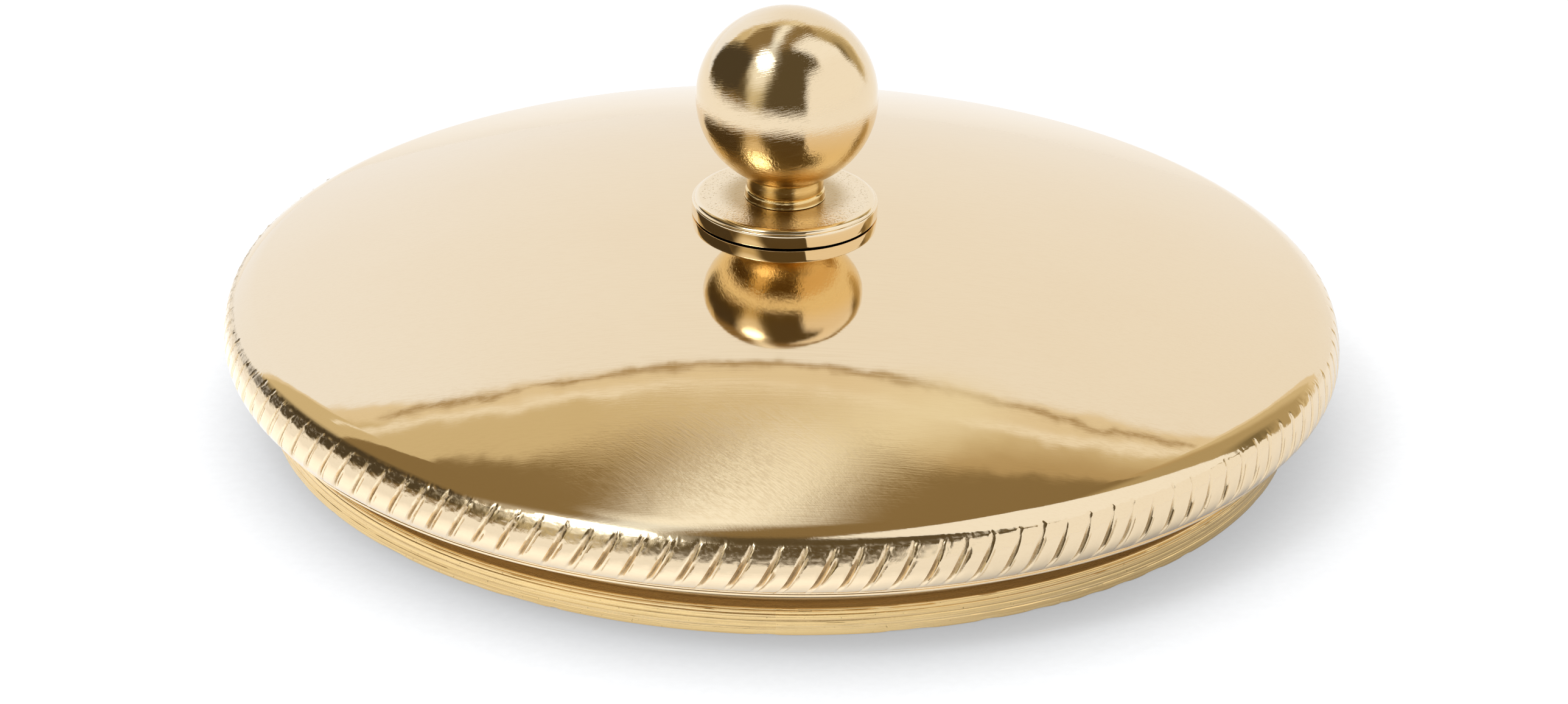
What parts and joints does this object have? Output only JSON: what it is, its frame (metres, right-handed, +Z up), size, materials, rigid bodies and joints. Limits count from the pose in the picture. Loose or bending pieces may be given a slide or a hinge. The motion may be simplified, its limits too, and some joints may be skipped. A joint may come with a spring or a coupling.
{
  "type": "ciborium lid",
  "caption": "Shallow domed brass lid of a ciborium, with a chased bull-nosed rim, a turned seating ring below it and a ball knob on a round rosette.",
  "frame": {"origin": "centre of the lower face of the seating ring, on the surface the lid stands on", "axes": "+Z up along the axis of the dome and knob; the part is round about Z, so +X and +Y are any two level directions"},
  "size_m": [0.123, 0.123, 0.0472],
  "materials": {
    "cover_brass": "polished, with fine hand brush marks and a chased rim",
    "ring_brass": "lathe turned, with fine lines round the band",
    "knob_brass": "polished, turned",
    "rosette_brass": "satin top with fine pitting, turned edge",
    "fixing_steel": "plain zinc-plated steel"
  },
  "bodies": {
    "root": {"dome_cover": "cover_brass", "seating_ring": "ring_brass", "knob_ball": "knob_brass", "knob_collar": "knob_brass", "knob_rosette": "rosette_brass", "knob_stud": "fixing_steel", "backing_washer": "fixing_steel", "spring_washer": "fixing_steel", "hex_nut": "fixing_steel"}
  },
  "joints": []
}
